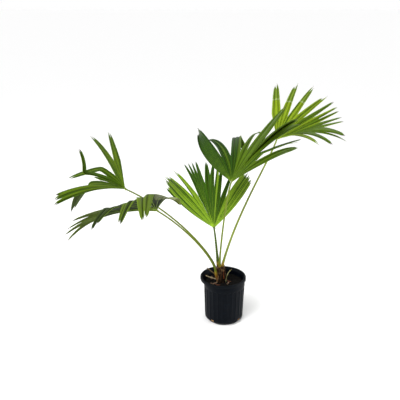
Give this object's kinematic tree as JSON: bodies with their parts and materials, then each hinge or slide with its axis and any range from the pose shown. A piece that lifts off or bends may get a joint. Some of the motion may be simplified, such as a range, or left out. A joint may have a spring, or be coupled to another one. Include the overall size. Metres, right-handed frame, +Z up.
{
  "type": "potted chinese fan palm",
  "caption": "Young fan palm with pleated, deeply cut fronds on long arching stalks, growing from a short fibrous trunk in a black fluted nursery pot",
  "frame": {"origin": "centre of the pot's flat underside", "axes": "+Z up, +X to the right in the picture, along the plant's greatest spread, +Y away from the viewer"},
  "size_m": [1.3229, 1.0867, 1.0565],
  "materials": {
    "leaf": "satin green blade, lighter along the pleats",
    "petiole": "smooth olive green",
    "dry_leaf_base": "dry straw",
    "trunk": "brown matted fibre",
    "soil": "damp potting mix",
    "pot": "satin black"
  },
  "bodies": {
    "root": {"dry_stub_left_high": "dry_leaf_base", "dry_stub_left_low": "dry_leaf_base", "dry_stub_right": "dry_leaf_base", "frond_centre_left_band": "leaf", "frond_centre_left_finger": "leaf", "frond_centre_left_wing": "leaf", "frond_centre_middle": "leaf", "frond_centre_right_finger": "leaf", "frond_centre_right_wing": "leaf", "frond_far_left_arching_back": "leaf", "frond_far_left_curled": "leaf", "frond_far_left_hanging": "leaf", "frond_far_left_short": "leaf", "frond_far_left_upright_left": "leaf", "frond_far_left_upturned": "leaf", "frond_far_right_near": "leaf", "frond_far_right_outer": "leaf", "frond_far_right_top": "leaf", "frond_far_right_upper": "leaf", "frond_low_left_crest": "leaf", "frond_low_left_hanging_left": "leaf", "frond_low_left_hanging_mid": "leaf", "frond_low_left_hanging_pair": "leaf", "frond_low_left_long_tips": "leaf", "frond_near_right_back_finger": "leaf", "frond_near_right_curled": "leaf", "frond_near_right_drooping": "leaf", "frond_near_right_folded_over": "leaf", "frond_near_right_left_wing": "leaf", "frond_near_right_raised": "leaf", "frond_near_right_reaching": "leaf", "nursery_pot": "pot", "petiole_centre": "petiole", "petiole_far_left": "petiole", "petiole_far_right": "petiole", "petiole_low_left": "petiole", "petiole_near_right": "petiole", "potting_soil": "soil", "trunk": "trunk"}
  },
  "joints": []
}
